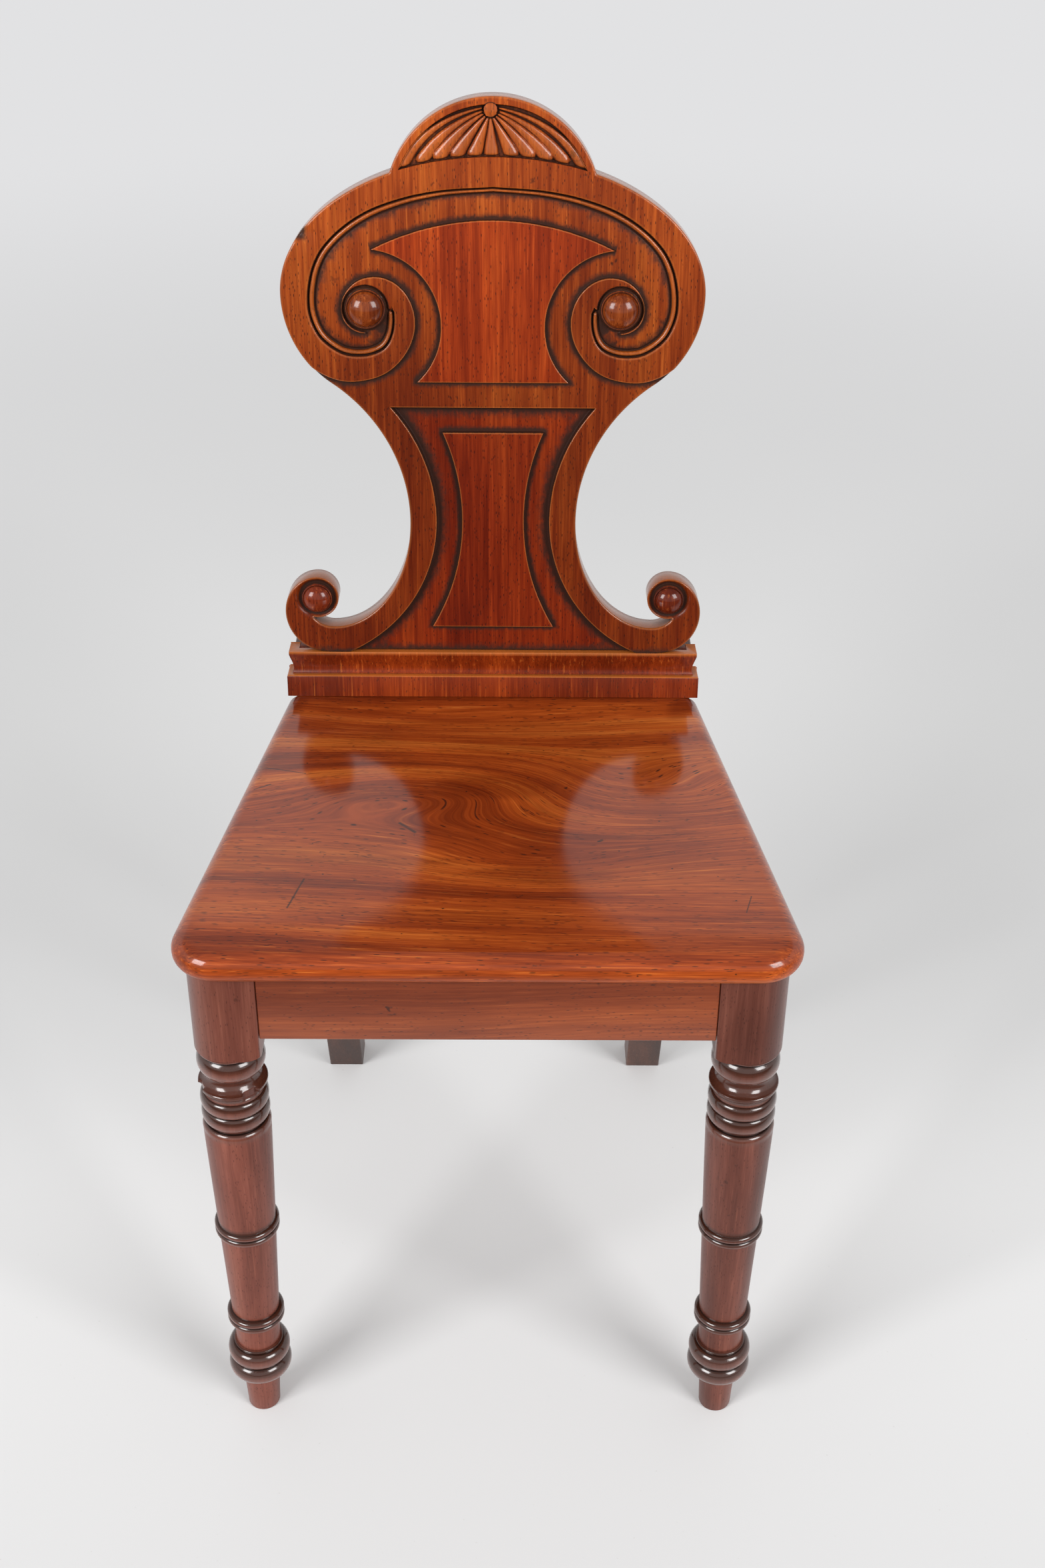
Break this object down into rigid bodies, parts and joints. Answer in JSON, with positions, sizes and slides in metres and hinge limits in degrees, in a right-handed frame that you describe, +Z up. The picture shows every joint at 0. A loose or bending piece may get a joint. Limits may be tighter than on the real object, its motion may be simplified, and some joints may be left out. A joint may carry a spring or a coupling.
{
  "type": "hall chair",
  "caption": "Solid mahogany hall chair with a carved scrolled back, a splayed plank seat, turned front legs and raked square rear legs.",
  "frame": {"origin": "middle of the chair's bounding box, on the floor", "axes": "+Z up, the front of the chair towards -Y, +X to the right of someone looking at its front"},
  "size_m": [0.4044, 0.44, 0.8819],
  "materials": {
    "back_wood": "polished mahogany",
    "seat_wood": "polished mahogany",
    "leg_wood": "polished mahogany",
    "rear_wood": "dull mahogany",
    "block_wood": "bare pine",
    "screw_steel": "dull steel"
  },
  "bodies": {
    "root": {"seat_board": "seat_wood", "front_rail": "leg_wood", "left_side_rail": "leg_wood", "front_left_leg": "leg_wood", "rear_left_leg": "rear_wood", "front_left_corner_block": "block_wood", "rear_left_corner_block": "block_wood", "front_left_seat_screw": "screw_steel", "rear_left_seat_screw": "screw_steel", "left_leg_lower_screw": "screw_steel", "left_leg_upper_screw": "screw_steel", "left_rail_screw": "screw_steel", "upper_left_boss": "back_wood", "lower_left_boss": "back_wood", "right_side_rail": "leg_wood", "front_right_leg": "leg_wood", "rear_right_leg": "rear_wood", "front_right_corner_block": "block_wood", "rear_right_corner_block": "block_wood", "front_right_seat_screw": "screw_steel", "rear_right_seat_screw": "screw_steel", "right_leg_lower_screw": "screw_steel", "right_leg_upper_screw": "screw_steel", "right_rail_screw": "screw_steel", "upper_right_boss": "back_wood", "lower_right_boss": "back_wood", "rear_rail": "rear_wood", "back_panel": "back_wood", "cavetto_moulding": "back_wood", "plinth_moulding": "back_wood"}
  },
  "joints": []
}
